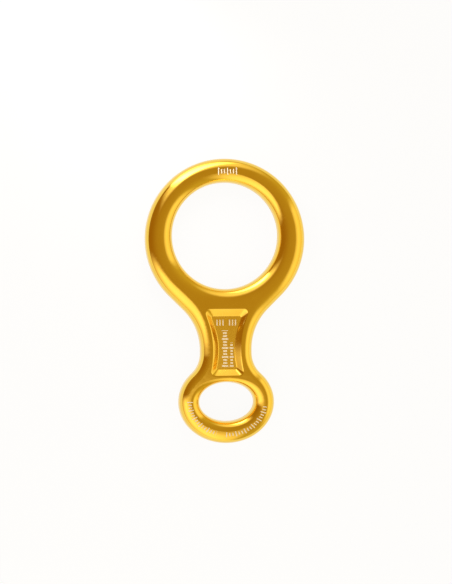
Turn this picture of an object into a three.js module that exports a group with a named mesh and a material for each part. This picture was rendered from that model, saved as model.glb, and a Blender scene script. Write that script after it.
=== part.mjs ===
// Figure eight descender, hot-forged from one piece of aluminium. A big round ring takes the rope,
// a small oval eye takes the carabiner, and a waist with a sunk panel in each face joins them.
// Units are millimetres and +Z is up. The piece lies flat on z = 0, centred on the origin, and +Y
// points from the small eye to the big ring.

import * as THREE from "three";
import { LoftGeometry } from "three/addons/geometries/LoftGeometry.js";
import { mergeGeometries, mergeVertices } from "three/addons/utils/BufferGeometryUtils.js";

const { lerp, smoothstep, smootherstep } = THREE.MathUtils;

// Driving dimensions
const thickness = 11.2;
const crownFlat = 0.5; // width of the flat that is left along the crown of every bar

const ringRadius = 34.4;
const ringBar = 11.6; // width of the bar at the ring's sides, seen from above
const ringHoleRise = 1.25; // the hole sits above the ring's middle: the bar is thicker below

const shoulderStraight = 8.4; // straight stretch of edge where the ring runs into the shoulder
const shoulderRadius = 24.1;
const waistHalfWidth = 11.1;
const waistStraight = 1.5;
const neckRadius = 11.9;

const eyeHalfWidth = 20.6;
const eyeHalfHeight = 17.7;
const eyeSideBar = 8.9; // width of the bar at the eye's sides
const eyeBottomBar = 9.5;
const eyeHoleRise = 0.1;

const panelDepth = 2.0;
const panelTopLand = 8.4; // web between the ring's hole and the panel
const panelSideLand = 4.9; // web between the waist's edge and the panel
const panelEndLand = 2.6; // web between the panel and the eye's hole
const panelTopFlare = 3.8; // how much wider the panel is at its top than at the waist
const panelEndFlare = 1.3;
const panelCorner = 2.4;
const wallRun = 3.3; // how far the panel's sloping wall reaches in, seen from above
const wallRunAtWaist = 3.0;
const wallRunAtTopCorners = 3.5;
const rimRound = 1.15; // radius where the wall leaves the face
const footRound = 0.85; // radius where the wall meets the floor
const floorCorner = 1.0;

// Spacing of the points along an edge, and the number of steps across a curve
const edgeStep = 2.8;
const holeStep = 2.4;
const rollSteps = 6;
const roundSteps = 3;
const panelSideSteps = 5;
const panelCornerSteps = 3;
const panelEndSteps = 2;

// Bend of the panel's sides, as a share of the way from the waist to a corner
const panelBendShare = 0.45;

const crownZ = thickness / 2; // height of the crown above the mid-plane
const rightAngle = Math.PI / 2;

// The holes are what the bars leave of the ring and of the eye
const ringHoleRadius = ringRadius - ringBar;
const eyeHoleHalfWidth = eyeHalfWidth - eyeSideBar;
const eyeHoleHalfHeight = eyeHalfHeight - eyeBottomBar + eyeHoleRise;

// The outline is a chain from the ring down to the eye, each piece tangent to the next. Places are
// measured from the middle of the ring.
const shoulderX = waistHalfWidth + shoulderRadius;
const shoulderReach = Math.hypot(shoulderStraight, ringRadius + shoulderRadius);
const shoulderY = -Math.sqrt(shoulderReach ** 2 - shoulderX ** 2);
const leaveTurn =
  Math.atan2(shoulderY, shoulderX) + Math.atan2(shoulderStraight, ringRadius + shoulderRadius);
const neckX = waistHalfWidth + neckRadius;
const neckY = shoulderY - waistStraight;
const eyeTurn = neckContact();
const eyeNormal = ellipseNormal(eyeHalfWidth, eyeHalfHeight, eyeTurn);
const eyeY = neckY - eyeHalfHeight * Math.sin(eyeTurn) - neckRadius * eyeNormal.y;
const eyeHoleY = eyeY + eyeHoleRise;
const ringLeaveY = ringRadius * Math.sin(leaveTurn);
const eyeLeaveY = eyeY + eyeHalfHeight * Math.sin(eyeTurn);

// The panel's rim, from the lands around it, and its floor, from the wall's run
const panelRim = {
  topY: ringHoleRise - ringHoleRadius - panelTopLand,
  waistY: shoulderY,
  endY: eyeHoleY + eyeHoleHalfHeight + panelEndLand,
  halfWaist: waistHalfWidth - panelSideLand,
  halfTop: waistHalfWidth - panelSideLand + panelTopFlare,
  halfEnd: waistHalfWidth - panelSideLand + panelEndFlare,
  corner: panelCorner,
};
const panelFloor = {
  topY: panelRim.topY - wallRun,
  waistY: panelRim.waistY,
  endY: panelRim.endY + wallRun,
  halfWaist: panelRim.halfWaist - wallRunAtWaist,
  halfTop: panelRim.halfTop - wallRunAtTopCorners,
  halfEnd: panelRim.halfEnd - wallRun,
  corner: floorCorner,
};

// Outward unit normal of an ellipse at a turn round it
function ellipseNormal(halfWidth, halfHeight, turn) {
  return new THREE.Vector2(Math.cos(turn) / halfWidth, Math.sin(turn) / halfHeight).normalize();
}

// The turn at which the neck's arc touches the eye: the place where the eye's edge, moved out by
// the neck's radius, is as far from the middle line as the centre of the neck's arc.
function neckContact() {
  let low = 0;
  let high = rightAngle;
  const halvings = 50;
  for (let i = 0; i < halvings; i++) {
    const turn = (low + high) / 2;
    const normal = ellipseNormal(eyeHalfWidth, eyeHalfHeight, turn);
    const x = eyeHalfWidth * Math.cos(turn) + neckRadius * normal.x;
    if (x > neckX) low = turn;
    else high = turn;
  }
  return low;
}

// Right half of the outline, from the bottom of the eye up to the top of the ring
function outlineCurves() {
  const neckTurn = Math.atan2(-eyeNormal.y, -eyeNormal.x);
  const onRing = new THREE.Vector2(Math.cos(leaveTurn), Math.sin(leaveTurn));
  const shoulder = new THREE.Vector2(shoulderX, shoulderY);
  const straightStart = shoulder.clone().addScaledVector(onRing, -shoulderRadius);
  const straightEnd = onRing.clone().multiplyScalar(ringRadius);
  return [
    new THREE.EllipseCurve(0, eyeY, eyeHalfWidth, eyeHalfHeight, -rightAngle, eyeTurn),
    new THREE.EllipseCurve(neckX, neckY, neckRadius, neckRadius, neckTurn, -Math.PI, true),
    new THREE.LineCurve(
      new THREE.Vector2(waistHalfWidth, neckY),
      new THREE.Vector2(waistHalfWidth, shoulderY),
    ),
    new THREE.EllipseCurve(
      shoulderX,
      shoulderY,
      shoulderRadius,
      shoulderRadius,
      Math.PI,
      leaveTurn + Math.PI,
      true,
    ),
    new THREE.LineCurve(straightStart, straightEnd),
    new THREE.EllipseCurve(0, 0, ringRadius, ringRadius, leaveTurn, rightAngle),
  ];
}

// Points along a chain of curves, with the ends that two curves share kept once
function pointsAlong(curves, step) {
  return curves.flatMap((curve, place) => {
    const points = curve.getPoints(Math.ceil(curve.getLength() / step));
    return place === 0 ? points : points.slice(1);
  });
}

// Closes a right half, drawn upwards, with its mirror image
function closedLoop(half) {
  const left = half.slice(1, -1).reverse();
  return [...half, ...left.map((point) => new THREE.Vector2(-point.x, point.y))];
}

// An oval hole's edge, drawn the other way round, so that the metal is on the left of it too
function holeLoop(centreY, halfWidth, halfHeight) {
  const half = new THREE.EllipseCurve(0, centreY, halfWidth, halfHeight, -rightAngle, rightAngle);
  return closedLoop(pointsAlong([half], holeStep)).reverse();
}

// Half of the ring's bar, less half of the flat on its crown. The share runs from -1 at the bottom
// of the ring to 1 at its top, where the bar is thinnest.
function ringReach(upShare) {
  return (ringBar - ringHoleRise * upShare - crownFlat) / 2;
}

function ringHoleReach(y) {
  return ringReach((y - ringHoleRise) / ringHoleRadius);
}

// The same for the eye's bar, a little thicker at the bottom than at the sides. Here the share is
// -1 at the bottom of the eye and 0 at the height of its middle.
function eyeReach(upShare) {
  return (lerp(eyeSideBar, eyeBottomBar, Math.min(upShare, 0) ** 2) - crownFlat) / 2;
}

// How far the outer edge's round reaches into the metal at a height y
function outerReach(y) {
  const atRing = ringReach(y / ringRadius);
  const atWaist = panelSideLand - crownFlat;
  const atEye = eyeReach((y - eyeY) / eyeHalfHeight);
  const waistShare = smoothstep(y, eyeLeaveY, neckY);
  const ringShare = smootherstep(y, shoulderY, ringLeaveY);
  return lerp(lerp(atEye, atWaist, waistShare), atRing, ringShare);
}

// The same round the eye's hole, where only the narrow web under the panel is left at the top
function eyeHoleReach(y) {
  const upShare = (y - eyeHoleY) / eyeHoleHalfHeight;
  const atTop = panelEndLand - crownFlat;
  return lerp(eyeReach(upShare), atTop, Math.max(upShare, 0) ** 2);
}

// Unit vectors at each point of a loop, pointing to the left of it, into the metal
function inwardNormals(loop) {
  return loop.map((point, i) => {
    const before = loop.at(i - 1);
    const after = loop[(i + 1) % loop.length];
    return new THREE.Vector2(before.y - after.y, after.x - before.x).normalize();
  });
}

// Sections of a rounded edge, from the mid-plane up to the crown, each a quarter ellipse's step in
function rollSections(loop, reachAt) {
  const normals = inwardNormals(loop);
  return Array.from({ length: rollSteps + 1 }, (_, step) => {
    const turn = (rightAngle * step) / rollSteps;
    const inShare = 1 - Math.cos(turn);
    return loop.map((point, i) => {
      const reach = reachAt(point.y) * inShare;
      const moved = point.clone().addScaledVector(normals[i], reach);
      return new THREE.Vector3(moved.x, moved.y, crownZ * Math.sin(turn));
    });
  });
}

// A quarter of the panel's edge, from the waist out along the side and round the corner to the
// middle of the end
function panelQuarter(halfWaist, waistY, halfEnd, endY, corner) {
  const bendY = lerp(waistY, endY, panelBendShare);
  const sharp = new THREE.Vector2(halfEnd, endY);
  const side = new THREE.QuadraticBezierCurve(
    new THREE.Vector2(halfWaist, waistY),
    new THREE.Vector2(halfWaist, bendY),
    sharp,
  );
  const keptShare = 1 - corner / side.getLength();
  const sidePoints = Array.from({ length: panelSideSteps }, (_, i) =>
    side.getPointAt((keptShare * i) / panelSideSteps),
  );
  const cornerEnd = new THREE.Vector2(halfEnd - corner, endY);
  const round = new THREE.QuadraticBezierCurve(side.getPointAt(keptShare), sharp, cornerEnd);
  const end = new THREE.LineCurve(cornerEnd, new THREE.Vector2(0, endY));
  return [
    ...sidePoints,
    ...round.getPoints(panelCornerSteps).slice(0, -1),
    ...end.getPoints(panelEndSteps),
  ];
}

function panelLoop({ topY, waistY, endY, halfWaist, halfTop, halfEnd, corner }) {
  const lower = panelQuarter(halfWaist, waistY, halfEnd, endY, corner).reverse();
  const upper = panelQuarter(halfWaist, waistY, halfTop, topY, corner);
  return closedLoop([...lower, ...upper.slice(1)]);
}

// The panel wall's profile: a round at the rim, a straight slope and a round at the foot. Each step
// has its share of the wall's run and its drop below the face.
function wallProfile() {
  const rounds = rimRound + footRound;
  const rest = panelDepth - rounds;
  const slope = Math.atan2(rest, wallRun) + Math.asin(rounds / Math.hypot(wallRun, rest));
  const steps = Array.from({ length: roundSteps + 1 }, (_, i) => (slope * i) / roundSteps);
  const top = steps.map((turn) => ({
    runShare: (rimRound * Math.sin(turn)) / wallRun,
    drop: rimRound * (1 - Math.cos(turn)),
  }));
  const foot = steps.toReversed().map((turn) => ({
    runShare: 1 - (footRound * Math.sin(turn)) / wallRun,
    drop: panelDepth - footRound * (1 - Math.cos(turn)),
  }));
  return [...top, ...foot];
}

// Sections of the sunk panel's wall, from the rim down to the floor
function panelSections() {
  const rimLoop = panelLoop(panelRim);
  const floorLoop = panelLoop(panelFloor);
  return wallProfile().map(({ runShare, drop }) =>
    rimLoop.map((point, i) => {
      const moved = point.clone().lerp(floorLoop[i], runShare);
      return new THREE.Vector3(moved.x, moved.y, crownZ - drop);
    }),
  );
}

// A flat face with the given edge and holes, at the height of its edge
function flatFace(edge, holes = []) {
  const flat = (loop) => loop.map((point) => new THREE.Vector2(point.x, point.y));
  const shape = new THREE.Shape(flat(edge));
  shape.holes = holes.map((hole) => new THREE.Path(flat(hole)));
  return new THREE.ShapeGeometry(shape).translate(0, 0, edge[0].z);
}

// The skin from the mid-plane up: three rounded edges, the face between them, and the sunk panel
function upperSkin() {
  const outer = rollSections(closedLoop(pointsAlong(outlineCurves(), edgeStep)), outerReach);
  const ringHole = rollSections(
    holeLoop(ringHoleRise, ringHoleRadius, ringHoleRadius),
    ringHoleReach,
  );
  const eyeHole = rollSections(
    holeLoop(eyeHoleY, eyeHoleHalfWidth, eyeHoleHalfHeight),
    eyeHoleReach,
  );
  const panel = panelSections();
  return mergeGeometries([
    ...[outer, ringHole, eyeHole, panel].map((sections) => new LoftGeometry(sections)),
    flatFace(outer.at(-1), [ringHole.at(-1), eyeHole.at(-1), panel[0]]),
    flatFace(panel.at(-1)),
  ]);
}

// The same skin below the mid-plane. The mirror turns each triangle round, and this turns it back.
function mirroredDown(skin) {
  const lower = skin.clone().scale(1, 1, -1);
  const corners = lower.index.array;
  for (let i = 0; i < corners.length; i += 3) {
    [corners[i], corners[i + 1]] = [corners[i + 1], corners[i]];
  }
  return lower;
}

function closedGeometry() {
  const upper = upperSkin();
  const whole = mergeGeometries([upper, mirroredDown(upper)]);
  whole.deleteAttribute("uv");
  whole.deleteAttribute("normal");
  const geometry = mergeVertices(whole);
  geometry.computeVertexNormals();
  return geometry;
}

const anodisedGold = new THREE.MeshStandardMaterial({
  color: 0xd9981a,
  roughness: 0.2,
  metalness: 1,
});

const body = new THREE.Mesh(closedGeometry(), anodisedGold);
body.name = "descender_body";
body.position.set(0, -(ringRadius + eyeY - eyeHalfHeight) / 2, crownZ);

const descender = new THREE.Group();
descender.name = "figure_eight_descender";
descender.add(body);

export default descender;
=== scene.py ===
import math

import bmesh
import bpy
from mathutils import Matrix, Vector


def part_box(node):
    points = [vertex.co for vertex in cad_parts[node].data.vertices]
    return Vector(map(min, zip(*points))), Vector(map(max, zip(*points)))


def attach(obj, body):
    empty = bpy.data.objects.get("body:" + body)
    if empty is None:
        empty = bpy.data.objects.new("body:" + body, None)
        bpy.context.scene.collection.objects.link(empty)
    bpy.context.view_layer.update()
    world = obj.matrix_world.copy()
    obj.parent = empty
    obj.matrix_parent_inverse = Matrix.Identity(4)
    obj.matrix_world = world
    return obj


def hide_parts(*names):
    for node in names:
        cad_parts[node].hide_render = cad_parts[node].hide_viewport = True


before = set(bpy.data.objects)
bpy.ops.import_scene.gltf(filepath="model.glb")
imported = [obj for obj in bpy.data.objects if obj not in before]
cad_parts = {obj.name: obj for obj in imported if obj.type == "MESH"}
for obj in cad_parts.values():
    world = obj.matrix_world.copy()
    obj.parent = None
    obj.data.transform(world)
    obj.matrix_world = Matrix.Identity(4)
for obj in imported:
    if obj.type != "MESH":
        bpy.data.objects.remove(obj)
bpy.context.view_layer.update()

mm = 0.001
rightAngle = math.pi / 2
low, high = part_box("descender_body")
ringRadius = high.x
ringPlace = Vector((0, high.y - ringRadius, (low.z + high.z) / 2))
crownZ = (high.z - low.z) / 2  # height of the crown above the mid-plane

# Places in this dictionary are measured from the middle of the ring, at the mid-plane
forging = {
    "ringBar": 11.6 * mm,
    "ringHoleRise": 1.25 * mm,
    "shoulderStraight": 8.4 * mm,
    "shoulderRadius": 24.1 * mm,
    "waistHalfWidth": 11.1 * mm,
    "waistStraight": 1.5 * mm,
    "neckRadius": 11.9 * mm,
    "eyeHalfWidth": 20.6 * mm,
    "eyeHalfHeight": 17.7 * mm,
    "eyeSideBar": 8.9 * mm,
    "eyeBottomBar": 9.5 * mm,
    "eyeHoleRise": 0.1 * mm,
    "crownFlat": 0.5 * mm,
    "fullness": 2.5,  # of a bar's section: 2 is an ellipse, more is squarer
    "partingHalfHeight": 0.4 * mm,  # the trimmed flash line round every edge
    "partingStep": 0.03 * mm,
    "edgeStep": 0.9 * mm,
    "rollSteps": 20,
    "flatMargin": 0.05 * mm,  # narrow ring that keeps the shading of the flats flat
    "weld": 0.001 * mm,
}

panel = {
    "depth": 2.0 * mm,
    "topLand": 8.4 * mm,
    "sideLand": 4.9 * mm,
    "endLand": 2.6 * mm,
    "topFlare": 3.8 * mm,
    "endFlare": 1.3 * mm,
    "wallRun": 3.3 * mm,
    "wallRunAtWaist": 3.0 * mm,
    "wallRunAtTopCorners": 3.5 * mm,
    "rimRound": 1.15 * mm,
    "footRound": 0.85 * mm,
    "rimCorner": 1.9 * mm,
    "floorCorner": 0.7 * mm,
    "topStraight": 5.4 * mm,  # straight stretch of the side below the top corner
    "endStraight": 3.0 * mm,
    "steps": {"side": 24, "straight": 6, "corner": 10, "end": 10, "wall": 24},
}


def mix(a, b, share):
    return a + (b - a) * share


def smoothShare(value, start, end):
    share = min(max((value - start) / (end - start), 0), 1)
    return share * share * (3 - 2 * share)


def smootherShare(value, start, end):
    share = min(max((value - start) / (end - start), 0), 1)
    return share**3 * (share * (6 * share - 15) + 10)


def ellipseNormal(turn):
    return Vector(
        (math.cos(turn) / forging["eyeHalfWidth"], math.sin(turn) / forging["eyeHalfHeight"], 0)
    ).normalized()


def neckContact():
    # turn round the eye at which the neck's arc touches it, found by halving
    halvings = 50
    lowTurn, highTurn = 0, rightAngle
    for _ in range(halvings):
        turn = (lowTurn + highTurn) / 2
        x = forging["eyeHalfWidth"] * math.cos(turn) + forging["neckRadius"] * ellipseNormal(turn).x
        if x > forging["waistHalfWidth"] + forging["neckRadius"]:
            lowTurn = turn
        else:
            highTurn = turn
    return lowTurn


# The chain of tangent arcs, as the forging die has it
holeRadius = ringRadius - forging["ringBar"]
bendSum = ringRadius + forging["shoulderRadius"]
shoulder = Vector((forging["waistHalfWidth"] + forging["shoulderRadius"], 0, 0))
shoulder.y = -math.sqrt(forging["shoulderStraight"] ** 2 + bendSum**2 - shoulder.x**2)
leaveTurn = math.atan2(shoulder.y, shoulder.x) + math.atan2(forging["shoulderStraight"], bendSum)
neck = Vector(
    (forging["waistHalfWidth"] + forging["neckRadius"], shoulder.y - forging["waistStraight"], 0)
)
eyeTurn = neckContact()
eyeNormal = ellipseNormal(eyeTurn)
eye = Vector(
    (0, neck.y - forging["eyeHalfHeight"] * math.sin(eyeTurn) - forging["neckRadius"] * eyeNormal.y, 0)
)
eyeHole = eye + Vector((0, forging["eyeHoleRise"], 0))
eyeHoleHalfWidth = forging["eyeHalfWidth"] - forging["eyeSideBar"]
eyeHoleHalfHeight = forging["eyeHalfHeight"] - forging["eyeBottomBar"] + forging["eyeHoleRise"]
ringLeaveY = ringRadius * math.sin(leaveTurn)
eyeLeaveY = eye.y + forging["eyeHalfHeight"] * math.sin(eyeTurn)


def ringReach(upShare):
    # half of the ring's bar, less half of its crown's flat
    return (forging["ringBar"] - forging["ringHoleRise"] * upShare - forging["crownFlat"]) / 2


def eyeReach(upShare):
    bar = mix(forging["eyeSideBar"], forging["eyeBottomBar"], min(upShare, 0) ** 2)
    return (bar - forging["crownFlat"]) / 2


def outerReach(y):
    atRing = ringReach(y / ringRadius)
    atWaist = panel["sideLand"] - forging["crownFlat"]
    atEye = eyeReach((y - eye.y) / forging["eyeHalfHeight"])
    belowRing = mix(atEye, atWaist, smoothShare(y, eyeLeaveY, neck.y))
    return mix(belowRing, atRing, smootherShare(y, shoulder.y, ringLeaveY))


def ringHoleReach(y):
    return ringReach((y - forging["ringHoleRise"]) / holeRadius)


def eyeHoleReach(y):
    upShare = (y - eyeHole.y) / eyeHoleHalfHeight
    return mix(eyeReach(upShare), panel["endLand"] - forging["crownFlat"], max(upShare, 0) ** 2)


def swing(bm, start, centre, turn, steps):
    # carries a vertex round a centre and gives the last vertex of the arc
    made = bmesh.ops.spin(bm, geom=[start], cent=centre, axis=(0, 0, 1), angle=turn, steps=steps)
    return made["geom_last"][0]


def run(bm, start, vector, steps):
    # carries a vertex along a straight line
    for _ in range(steps):
        made = bmesh.ops.extrude_vert_indiv(bm, verts=[start])
        start = made["verts"][0]
        bmesh.ops.translate(bm, verts=[start], vec=vector / steps)
    return start


def stepsFor(length):
    return max(1, math.ceil(abs(length) / forging["edgeStep"]))


def edgesAmong(bm, verts):
    chosen = set(verts)
    return [edge for edge in bm.edges if chosen.issuperset(edge.verts)]


def newVerts(bm, before):
    return [vert for vert in bm.verts if vert not in before]


def mirrorAcross(bm, verts, axis):
    geom = verts + edgesAmong(bm, verts)
    bmesh.ops.mirror(bm, geom=geom, axis=axis, merge_dist=forging["weld"])


def outlineLoop(bm):
    # right half from the top of the ring to the neck, then the eye's half, then the mirror image
    before = set(bm.verts)
    top = bm.verts.new((0, ringRadius, 0))
    ringTurn = rightAngle - leaveTurn
    last = swing(bm, top, (0, 0, 0), -ringTurn, stepsFor(ringTurn * ringRadius))
    down = Vector((math.sin(leaveTurn), -math.cos(leaveTurn), 0)) * forging["shoulderStraight"]
    last = run(bm, last, down, stepsFor(down.length))
    last = swing(bm, last, shoulder, -leaveTurn, stepsFor(leaveTurn * forging["shoulderRadius"]))
    last = run(bm, last, Vector((0, -forging["waistStraight"], 0)), stepsFor(forging["waistStraight"]))
    neckTurn = math.atan2(eyeNormal.y, eyeNormal.x)
    swing(bm, last, neck, neckTurn, stepsFor(neckTurn * forging["neckRadius"]))
    beforeEye = set(bm.verts)
    onEye = Vector((math.cos(eyeTurn), math.sin(eyeTurn), 0)) * forging["eyeHalfWidth"]
    start = bm.verts.new(eye + onEye)
    lowerTurn = rightAngle + eyeTurn
    swing(bm, start, eye, -lowerTurn, stepsFor(lowerTurn * forging["eyeHalfWidth"]))
    bmesh.ops.scale(
        bm,
        verts=newVerts(bm, beforeEye),
        vec=(1, forging["eyeHalfHeight"] / forging["eyeHalfWidth"], 1),
        space=Matrix.Translation(-eye),
    )
    bmesh.ops.remove_doubles(bm, verts=newVerts(bm, before), dist=forging["weld"])
    mirrorAcross(bm, newVerts(bm, before), "X")
    return newVerts(bm, before)


def holeLoop(bm, centre, halfWidth, halfHeight):
    before = set(bm.verts)
    segments = 4 * stepsFor(rightAngle * (halfWidth + halfHeight) / 2)
    place = Matrix.Translation(centre) @ Matrix.Diagonal((halfWidth, halfHeight, 1, 1))
    bmesh.ops.create_circle(bm, segments=segments, radius=1, matrix=place)
    return newVerts(bm, before)


def inOrder(verts, clockwise):
    # walks round a loop, so that the metal lies on the left
    ordered = [verts[0]]
    current, previous = verts[0], None
    while True:
        onward = [edge.other_vert(current) for edge in current.link_edges]
        following = onward[0] if onward[0] is not previous else onward[1]
        if following is verts[0]:
            break
        ordered.append(following)
        previous, current = current, following
    pairs = zip(ordered, ordered[1:] + ordered[:1])
    area = sum(a.co.x * b.co.y - b.co.x * a.co.y for a, b in pairs)
    if (area < 0) != clockwise:
        ordered.reverse()
    return ordered


def rollEdge(bm, verts, reachAt, isHole):
    # draws a loop up from the parting line and into the metal, ring by ring, as a quarter of an oval
    home = bm.verts.layers.float_vector["home"]
    inward = bm.verts.layers.float_vector["inward"]
    reach = bm.verts.layers.float["reach"]
    ordered = inOrder(verts, isHole)
    for before, vert, after in zip(ordered[-1:] + ordered[:-1], ordered, ordered[1:] + ordered[:1]):
        along = after.co - before.co
        vert[home] = vert.co
        vert[inward] = Vector((-along.y, along.x, 0)).normalized()
        vert[reach] = reachAt(vert.co.y) - forging["partingStep"]
    band = forging["partingHalfHeight"]
    power = 2 / forging["fullness"]
    profile = [(0, band)]
    for step in range(forging["rollSteps"] + 1):
        turn = rightAngle * step / forging["rollSteps"]
        rise = mix(band + forging["partingStep"], crownZ, math.sin(turn) ** power)
        profile.append((1 - math.cos(turn) ** power, rise))
    edges = edgesAmong(bm, verts)
    for place, (inShare, z) in enumerate(profile):
        made = bmesh.ops.extrude_edge_only(bm, edges=edges)["geom"]
        edges = [item for item in made if isinstance(item, bmesh.types.BMEdge)]
        stepIn = 0 if place == 0 else forging["partingStep"]
        for vert in {vert for edge in edges for vert in edge.verts}:
            vert.co = vert[home] + vert[inward] * (stepIn + vert[reach] * inShare)
            vert.co.z = z
    return edges


def panelQuarter(bm, start, halfEnd, endY, corner, straightLength):
    # from the waist out along a side, round the corner and in to the middle of the end
    steps = panel["steps"]
    up = 1 if endY > start.co.y else -1
    flare, rise = halfEnd - start.co.x, abs(endY - start.co.y)
    bend = 2 * math.atan(flare / (rise + straightLength))
    sideRadius = (rise - straightLength * math.cos(bend)) / math.sin(bend)
    last = swing(bm, start, start.co + Vector((sideRadius, 0, 0)), -up * bend, steps["side"])
    cornerTurn = rightAngle + bend
    cutBack = corner * math.tan(cornerTurn / 2)
    along = Vector((math.sin(bend), up * math.cos(bend), 0))
    last = run(bm, last, along * (straightLength - cutBack), steps["straight"])
    centre = last.co + corner * Vector((-math.cos(bend), up * math.sin(bend), 0))
    last = swing(bm, last, centre, up * cornerTurn, steps["corner"])
    run(bm, last, Vector((-last.co.x, 0, 0)), steps["end"])


def panelLoop(bm, z, halfWaist, halfTop, halfEnd, topY, endY, corner):
    before = set(bm.verts)
    start = bm.verts.new((halfWaist, shoulder.y, z))
    panelQuarter(bm, start, halfTop, topY, corner, panel["topStraight"])
    panelQuarter(bm, start, halfEnd, endY, corner, panel["endStraight"])
    mirrorAcross(bm, newVerts(bm, before), "X")
    return edgesAmong(bm, newVerts(bm, before))


def wallDrop(runShare):
    # drop of the panel's wall below the face: a round at the rim, a slope, a round at the foot
    rounds = panel["rimRound"] + panel["footRound"]
    rest = panel["depth"] - rounds
    slope = math.atan2(rest, panel["wallRun"]) + math.asin(rounds / math.hypot(panel["wallRun"], rest))
    fromRim = runShare * panel["wallRun"]
    fromFoot = (1 - runShare) * panel["wallRun"]
    if fromRim < panel["rimRound"] * math.sin(slope):
        return panel["rimRound"] - math.sqrt(panel["rimRound"] ** 2 - fromRim**2)
    if fromFoot < panel["footRound"] * math.sin(slope):
        lift = panel["footRound"] - math.sqrt(panel["footRound"] ** 2 - fromFoot**2)
        return panel["depth"] - lift
    roundDrop = panel["rimRound"] * (1 - math.cos(slope))
    return roundDrop + (fromRim - panel["rimRound"] * math.sin(slope)) * math.tan(slope)


def sunkPanel(bm):
    # the wall is bridged from rim to floor, cut into rings and dropped to its profile
    halfWaist = forging["waistHalfWidth"] - panel["sideLand"]
    halfTop, halfEnd = halfWaist + panel["topFlare"], halfWaist + panel["endFlare"]
    topY = forging["ringHoleRise"] - holeRadius - panel["topLand"]
    endY = eyeHole.y + eyeHoleHalfHeight + panel["endLand"]
    wall = panel["wallRun"]
    rim = panelLoop(bm, crownZ, halfWaist, halfTop, halfEnd, topY, endY, panel["rimCorner"])
    floor = panelLoop(
        bm,
        crownZ - panel["depth"],
        halfWaist - panel["wallRunAtWaist"],
        halfTop - panel["wallRunAtTopCorners"],
        halfEnd - wall,
        topY - wall,
        endY + wall,
        panel["floorCorner"],
    )
    before = set(bm.edges)
    bmesh.ops.bridge_loops(bm, edges=rim + floor)
    across = [edge for edge in bm.edges if edge not in before]
    made = bmesh.ops.subdivide_edges(bm, edges=across, cuts=panel["steps"]["wall"] - 1)
    sunk = bm.verts.layers.float["sunk"]
    for vert in [item for item in made["geom_inner"] if isinstance(item, bmesh.types.BMVert)]:
        drop = wallDrop((crownZ - vert.co.z) / panel["depth"])
        vert.co.z = crownZ - drop
        vert[sunk] = drop / panel["depth"]
    return rim, floor


def fillFlat(bm, edges, sunkShare):
    # fills a flat face between loops, with a narrow ring round it
    sunk = bm.verts.layers.float["sunk"]
    filled = bmesh.ops.triangle_fill(bm, use_beauty=True, edges=edges, normal=(0, 0, 1))["geom"]
    faces = [item for item in filled if isinstance(item, bmesh.types.BMFace)]
    bmesh.ops.inset_region(
        bm, faces=faces, thickness=forging["flatMargin"], use_boundary=True, use_even_offset=True
    )
    for item in faces + edges:
        for vert in item.verts:
            vert[sunk] = sunkShare


def makeForging():
    bm = bmesh.new()
    for name in ("home", "inward"):
        bm.verts.layers.float_vector.new(name)
    bm.verts.layers.float.new("reach")
    bm.verts.layers.float.new("sunk")  # how far down into the panel a point is, for the finish
    outline = outlineLoop(bm)
    crownEdges = rollEdge(bm, outline, outerReach, False)
    ringHole = holeLoop(bm, Vector((0, forging["ringHoleRise"], 0)), holeRadius, holeRadius)
    crownEdges += rollEdge(bm, ringHole, ringHoleReach, True)
    eyeHoleVerts = holeLoop(bm, eyeHole, eyeHoleHalfWidth, eyeHoleHalfHeight)
    crownEdges += rollEdge(bm, eyeHoleVerts, eyeHoleReach, True)
    rim, floor = sunkPanel(bm)
    fillFlat(bm, crownEdges + rim, 0)
    fillFlat(bm, floor, 1)
    geom = bm.verts[:] + bm.edges[:] + bm.faces[:]
    bmesh.ops.mirror(bm, geom=geom, axis="Z", merge_dist=forging["weld"])
    bmesh.ops.remove_doubles(bm, verts=bm.verts, dist=forging["weld"])
    bmesh.ops.translate(bm, verts=bm.verts, vec=ringPlace)
    bmesh.ops.recalc_face_normals(bm, faces=bm.faces)
    for face in bm.faces:
        face.smooth = True
    for name in ("home", "inward"):
        bm.verts.layers.float_vector.remove(bm.verts.layers.float_vector[name])
    bm.verts.layers.float.remove(bm.verts.layers.float["reach"])
    openEdges = sum(1 for edge in bm.edges if not edge.is_manifold)
    mesh = bpy.data.meshes.new("descender_forging")
    bm.to_mesh(mesh)
    bm.free()
    piece = bpy.data.objects.new("descender_forging", mesh)
    bpy.context.scene.collection.objects.link(piece)
    print(f"forging: {len(mesh.vertices)} vertices, {len(mesh.polygons)} faces, {openEdges} open edges")
    return piece


forgingPiece = makeForging()
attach(forgingPiece, "root")
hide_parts("descender_body")


class Wire:
    # a number or colour that runs through a node tree, so that sums on it add Math nodes
    def __init__(self, finish, socket):
        self.finish = finish
        self.socket = socket

    def maths(self, operation, *values):
        settings = {"operation": operation}
        return self.finish.node("ShaderNodeMath", settings, dict(enumerate(values)))

    def __add__(self, other):
        return self.maths("ADD", self, other)

    def __radd__(self, other):
        return self.maths("ADD", other, self)

    def __sub__(self, other):
        return self.maths("SUBTRACT", self, other)

    def __rsub__(self, other):
        return self.maths("SUBTRACT", other, self)

    def __mul__(self, other):
        return self.maths("MULTIPLY", self, other)

    def __rmul__(self, other):
        return self.maths("MULTIPLY", other, self)

    def __truediv__(self, other):
        return self.maths("DIVIDE", self, other)

    def __mod__(self, other):
        return self.maths("FLOORED_MODULO", self, other)

    def __pow__(self, other):
        return self.maths("POWER", self, other)

    def __lt__(self, other):
        return self.maths("LESS_THAN", self, other)

    def __gt__(self, other):
        return self.maths("GREATER_THAN", self, other)

    def __abs__(self):
        return self.maths("ABSOLUTE", self)


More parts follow.
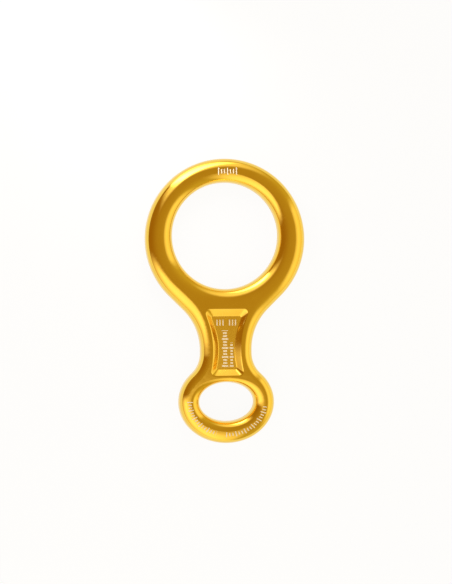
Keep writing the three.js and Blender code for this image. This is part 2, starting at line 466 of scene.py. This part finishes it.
class Finish:
    # the node tree of a material, a lamp or the room, and the one way in which it gets its nodes
    def __init__(self, owner):
        owner.use_nodes = True
        self.tree = owner.node_tree

    def feed(self, socket, value):
        if isinstance(value, Wire):
            self.tree.links.new(value.socket, socket)
        else:
            socket.default_value = value

    def node(self, kind, settings, values, output=0):
        made = self.tree.nodes.new(kind)
        for name, setting in settings.items():
            setattr(made, name, setting)
        for name, value in values.items():
            self.feed(made.inputs[name], value)
        return Wire(self, made.outputs[output])

    def dress(self, name, values):
        # feeds a node that is there from the start
        for socket, value in values.items():
            self.feed(self.tree.nodes[name].inputs[socket], value)

    def blend(self, share, first, second):
        # colour between two others
        settings = {"data_type": "RGBA", "clamp_factor": True}
        return self.node("ShaderNodeMix", settings, {0: share, 6: first, 7: second}, 2)

    def noise(self, place, kind):
        values = {"Vector": place, "Scale": 1 / kind["size"], "Detail": kind["detail"]}
        return self.node("ShaderNodeTexNoise", {}, values)

    def relief(self, place, kind):
        return self.noise(place, kind) * kind["height"]

    def stretched(self, place, sizes):
        # noise with its own grain size along each axis
        rates = [1 / size for size in sizes]
        scaled = self.node("ShaderNodeVectorMath", {"operation": "MULTIPLY"}, {0: place, 1: rates})
        return self.noise(scaled, {"size": 1, "detail": 1.0})


gold = {
    "colour": (0.92, 0.615, 0.085, 1),
    "deepColour": (0.89, 0.57, 0.065, 1),  # where the dyed film is thicker
    "roughness": 0.05,
    "cloudRoughness": 0.02,
    "panelRoughness": 0.15,  # added in the panel, where no polishing wheel reaches
    "coat": 0.25,
    "coatRoughness": 0.04,
    "cloud": {"size": 9 * mm, "detail": 3.0},
    "cloudContrast": 1.6,
    "cloudLevel": 0.5,
    "peel": {"size": 2.6 * mm, "detail": 1.0, "height": 0.012 * mm},
    "grain": {"size": 0.25 * mm, "detail": 2.0, "height": 0.0006 * mm},
    "skin": {"size": 0.7 * mm, "detail": 2.0, "height": 0.004 * mm},  # left in the panel
    "scratchTurns": (0.5, 1.7, 2.6),
    "scratchSizes": (6 * mm, 0.07 * mm, 6 * mm),
    "scratchLevel": 0.70,  # noise above this level is a scratch
    "scratchRoughness": 0.10,
}

# The trimmed flash line is ground, with fine lines that run along the edge
flash = {
    "halfHeight": 0.42 * mm,  # a hair more than the step, so that its corners are ground too
    "roughness": 0.28,
    "lineSizes": (2.5 * mm, 2.5 * mm, 0.05 * mm),
    "lineHeight": 0.003 * mm,
}

# Plain tick marks, etched where such a piece has its markings
etching = {
    "colour": (0.86, 0.78, 0.66, 1),
    "roughness": 0.55,
    "depth": 0.004 * mm,
    "pitch": 1.28 * mm,
    "strokes": {"fine": 0.46 * mm, "bold": 0.74 * mm},
    "shortShare": 0.62,  # height of a short tick, where 1 is a tall one
    "eyeHalfWidth": 16.2 * mm,  # the ellipse on which the eye's ticks stand
    "eyeHalfHeight": 13.8 * mm,
}

# Each row runs from start to end along one axis, or round the eye, with its middle at a place on
# the other, and one tick in every few is tall
tickRows = {
    "ring": {
        "start": -3.3 * mm,
        "end": 5.0 * mm,
        "middle": 55.3 * mm,
        "height": 3.0 * mm,
        "tallEvery": 3,
        "stroke": "fine",
    },
    "panelLeft": {
        "start": -4.3 * mm,
        "end": -1.1 * mm,
        "middle": -9.3 * mm,
        "height": 2.5 * mm,
        "tallEvery": 1,
        "stroke": "fine",
    },
    "panelRight": {
        "start": 1.1 * mm,
        "end": 4.3 * mm,
        "middle": -9.3 * mm,
        "height": 2.5 * mm,
        "tallEvery": 1,
        "stroke": "fine",
    },
    "longColumn": {
        "start": -28.2 * mm,
        "end": -12.6 * mm,
        "middle": -0.7 * mm,
        "height": 2.7 * mm,
        "tallEvery": 3,
        "stroke": "bold",
    },
    "shortColumn": {
        "start": -28.2 * mm,
        "end": -17.8 * mm,
        "middle": 2.1 * mm,
        "height": 1.7 * mm,
        "tallEvery": 3,
        "stroke": "bold",
    },
    "eyeRight": {
        "start": -0.8 * mm,
        "end": 22.2 * mm,
        "middle": 0,
        "height": 2.3 * mm,
        "tallEvery": 3,
        "stroke": "fine",
    },
    "eyeLeft": {
        "start": -24.0 * mm,
        "end": -4.7 * mm,
        "middle": 0,
        "height": 2.3 * mm,
        "tallEvery": 3,
        "stroke": "fine",
    },
}


def tickRow(along, across, row):
    fromStart = along - row["start"]
    tall = (fromStart % (row["tallEvery"] * etching["pitch"])) < etching["pitch"]
    heightShare = etching["shortShare"] + (1 - etching["shortShare"]) * tall
    inRow = (fromStart > 0) * (along < row["end"])
    inStroke = (fromStart % etching["pitch"]) < etching["strokes"][row["stroke"]]
    return inRow * inStroke * (abs(across - row["middle"]) < row["height"] / 2 * heightShare)


def etchedTicks(x, y, z):
    rows = 0
    for name in ("ring", "panelLeft", "panelRight"):
        rows += tickRow(x, y, tickRows[name])
    for name in ("longColumn", "shortColumn"):
        rows += tickRow(y, x, tickRows[name])
    acrossEye = x / etching["eyeHalfWidth"]
    upEye = (y - (eye + ringPlace).y) / etching["eyeHalfHeight"]
    size = (etching["eyeHalfWidth"] + etching["eyeHalfHeight"]) / 2
    turn = acrossEye.maths("ARCTAN2", acrossEye, 0 - upEye)  # from the bottom of the eye
    outward = (acrossEye * acrossEye + upEye * upEye) ** 0.5 - 1
    for name in ("eyeLeft", "eyeRight"):
        rows += tickRow(turn * size, outward * size, tickRows[name])
    return rows * (z > ringPlace.z)  # on the front face alone


def hairlines(finish, place):
    lines = 0
    for turn in gold["scratchTurns"]:
        settings = {"rotation_type": "Z_AXIS"}
        turned = finish.node("ShaderNodeVectorRotate", settings, {"Vector": place, "Angle": turn})
        lines += finish.stretched(turned, gold["scratchSizes"]) > gold["scratchLevel"]
    return lines


def anodisedGold():
    material = bpy.data.materials.new("anodised_gold")
    finish = Finish(material)
    place = finish.node("ShaderNodeTexCoord", {}, {}, "Object")
    x, y, z = (finish.node("ShaderNodeSeparateXYZ", {}, {0: place}, axis) for axis in "XYZ")
    sunk = finish.node("ShaderNodeAttribute", {"attribute_name": "sunk"}, {}, "Fac")
    cloud = finish.noise(place, gold["cloud"])
    etched = etchedTicks(x, y, z)
    onFlash = abs(z - ringPlace.z) < flash["halfHeight"]
    height = finish.relief(place, gold["peel"]) + finish.relief(place, gold["grain"])
    height += finish.relief(place, gold["skin"]) * sunk
    height += finish.stretched(place, flash["lineSizes"]) * flash["lineHeight"] * onFlash
    height -= etched * etching["depth"]
    polish = gold["roughness"] + gold["cloudRoughness"] * cloud + gold["panelRoughness"] * sunk
    polish += gold["scratchRoughness"] * hairlines(finish, place)
    polish += (flash["roughness"] - gold["roughness"]) * onFlash
    film = cloud * gold["cloudContrast"] - gold["cloudLevel"]
    dye = finish.blend(film, gold["colour"], gold["deepColour"])
    values = {
        "Base Color": finish.blend(etched, dye, etching["colour"]),
        "Metallic": 1 - etched,
        "Roughness": polish + etched * etching["roughness"],
        "Coat Weight": gold["coat"],
        "Coat Roughness": gold["coatRoughness"],
        "Normal": finish.node("ShaderNodeBump", {}, {"Height": height, "Distance": 1.0}),
    }
    finish.dress("Principled BSDF", values)
    return material


forgingPiece.data.materials.append(anodisedGold())
print("finish: anodised gold with etched ticks")

# The camera hangs high above the table, a little to the left of the piece
view = {
    "distance": 0.9,
    "scale": 0.4292 * mm,  # size of one picture element at the mid-plane
    "height": 584,  # of the picture, in its elements
    "sensorHeight": 24,  # in millimetres, as the camera has it
    "aim": Vector((0.35 * mm, 3.79 * mm, ringPlace.z)),
    "tilt": math.radians(7),
    "roll": math.radians(0.5),
}


def makeCamera():
    data = bpy.data.cameras.new("camera")
    data.sensor_fit = "VERTICAL"
    data.sensor_height = view["sensorHeight"]
    data.lens = view["sensorHeight"] * view["distance"] / (view["height"] * view["scale"])
    camera = bpy.data.objects.new("camera", data)
    turn = Matrix.Rotation(-view["tilt"], 4, "Y") @ Matrix.Rotation(-view["roll"], 4, "Z")
    backOff = Matrix.Translation((0, 0, view["distance"]))
    camera.matrix_world = Matrix.Translation(view["aim"]) @ turn @ backOff
    bpy.context.scene.collection.objects.link(camera)
    bpy.context.scene.camera = camera


makeCamera()

# A wide white table whose edge rises into a low white wall
table = {
    "radius": 6.0,
    "wallHeight": 0.3,
    "sides": 96,
    "colour": (0.95, 0.95, 0.95, 1),
    "glowShare": 0.93,  # share of its look that is plain white, the rest takes the shadows
}

# Timber-brown room behind the lamps, paler towards one side
room = {
    "darkColour": (0.33, 0.14, 0.006, 1),
    "paleColour": (0.63, 0.49, 0.12, 1),
    "slant": Vector((0.61, -0.07, -0.35)),
    "start": 0.83,
}

# Softboxes over and beside the table. Each is a rectangle, given by a corner and the two edges
# that leave it. Its light fades in over the shares given: from both ends of the first edge, then
# from both ends of the second
lamps = {
    "key": {
        "corner": Vector((-0.030, 0.065, 0.083)),
        "along": Vector((0.063, 0.036, -0.061)),
        "down": Vector((-0.104, 0.094, -0.051)),
        "radiance": 7.2,
        "fades": (0.25, 1.0, 0.1, 0.75),
    },
    "back": {
        "corner": Vector((-0.085, 0.055, 0.27)),
        "along": Vector((0.325, 0.16, -0.05)),
        "down": Vector((-0.065, 0.07, -0.19)),
        "radiance": 1.3,
        "fades": (0.2, 1.0, 0.55, 0),
    },
    "right": {
        "corner": Vector((0.70, -0.32, 1.92)),
        "along": Vector((-0.07, 0.58, -0.01)),
        "down": Vector((-0.48, -0.11, -2.20)),
        "radiance": 0.78,
        "fades": (0.5, 0.12, 1.0, 0.3),
    },
    "left": {
        "corner": Vector((0.215, -0.07, 1.23)),
        "along": Vector((-0.45, 0.08, -1.27)),
        "down": Vector((0.38, -0.90, -0.19)),
        "radiance": 1.33,
        "fades": (1.0, 0.2, 0.06, 1.0),
    },
}


def makeTable():
    bm = bmesh.new()
    bmesh.ops.create_circle(bm, cap_ends=True, segments=table["sides"], radius=table["radius"])
    edges = [edge for edge in bm.edges if edge.is_boundary]
    raised = bmesh.ops.extrude_edge_only(bm, edges=edges)["geom"]
    raisedVerts = [item for item in raised if isinstance(item, bmesh.types.BMVert)]
    bmesh.ops.translate(bm, verts=raisedVerts, vec=(0, 0, table["wallHeight"]))
    mesh = bpy.data.meshes.new("table")
    bm.to_mesh(mesh)
    bm.free()
    piece = bpy.data.objects.new("table", mesh)
    bpy.context.scene.collection.objects.link(piece)
    material = bpy.data.materials.new("white_table")
    finish = Finish(material)
    seen = 0
    for kind in ("Camera", "Glossy", "Transmission"):
        seen += finish.node("ShaderNodeLightPath", {}, {}, f"Is {kind} Ray")
    glow = finish.node("ShaderNodeEmission", {}, {"Color": (1, 1, 1, 1), "Strength": 1.0})
    matt = {"Base Color": table["colour"], "Roughness": 1.0, "Specular IOR Level": 0.0}
    finish.dress("Principled BSDF", matt)
    plain = Wire(finish, finish.tree.nodes["Principled BSDF"].outputs[0])
    mixed = finish.node("ShaderNodeMixShader", {}, {0: seen * table["glowShare"], 1: plain, 2: glow})
    finish.dress("Material Output", {"Surface": mixed})
    mesh.materials.append(material)


def fadeAcross(finish, place, fades):
    # share of the light at a place along an edge, from none at its ends to all of it
    settings = {"interpolation_type": "SMOOTHSTEP"}
    light = 1.0
    for fromEnd, fade in zip((place, 1 - place), fades):
        if fade > 0:
            values = {"Value": fromEnd, "From Max": fade}
            light *= finish.node("ShaderNodeMapRange", settings, values)
    return light


def addLamp(name, lamp):
    along = lamp["along"]
    down = lamp["down"] - along * along.dot(lamp["down"]) / along.length_squared  # square to it
    back = along.cross(down).normalized()
    middle = lamp["corner"] + (along + down) / 2
    turnedOver = back.dot(middle) < 0  # so that it shines on the piece
    data = bpy.data.lights.new(name, "AREA")
    data.shape = "RECTANGLE"
    data.size, data.size_y = along.length, down.length
    data.energy = lamp["radiance"] * math.pi * data.size * data.size_y
    made = bpy.data.objects.new(name, data)
    turn = Matrix((along.normalized(), down.normalized(), back)).transposed()
    if turnedOver:
        turn = turn @ Matrix.Diagonal((1, -1, -1))
    made.matrix_world = Matrix.Translation(middle) @ turn.to_4x4()
    made.visible_camera = False
    bpy.context.scene.collection.objects.link(made)
    finish = Finish(data)
    place = finish.node("ShaderNodeNewGeometry", {}, {}, "Parametric")
    x, y = (finish.node("ShaderNodeSeparateXYZ", {}, {0: place}, axis) for axis in "XY")
    if turnedOver:
        y = 1 - y
    light = fadeAcross(finish, x, lamp["fades"][:2]) * fadeAcross(finish, y, lamp["fades"][2:])
    finish.dress("Emission", {"Color": light})


def lightRoom():
    world = bpy.data.worlds.new("studio")
    finish = Finish(world)
    way = finish.node("ShaderNodeTexCoord", {}, {}, "Generated")
    values = {0: way, 1: room["slant"]}
    slant = finish.node("ShaderNodeVectorMath", {"operation": "DOT_PRODUCT"}, values, "Value")
    colour = finish.blend(slant + room["start"], room["darkColour"], room["paleColour"])
    finish.dress("Background", {"Color": colour})
    bpy.context.scene.world = world


makeTable()
for name, lamp in lamps.items():
    addLamp(name, lamp)
lightRoom()
bpy.context.scene.view_settings.view_transform = "Standard"
print("studio: table, camera and softboxes")
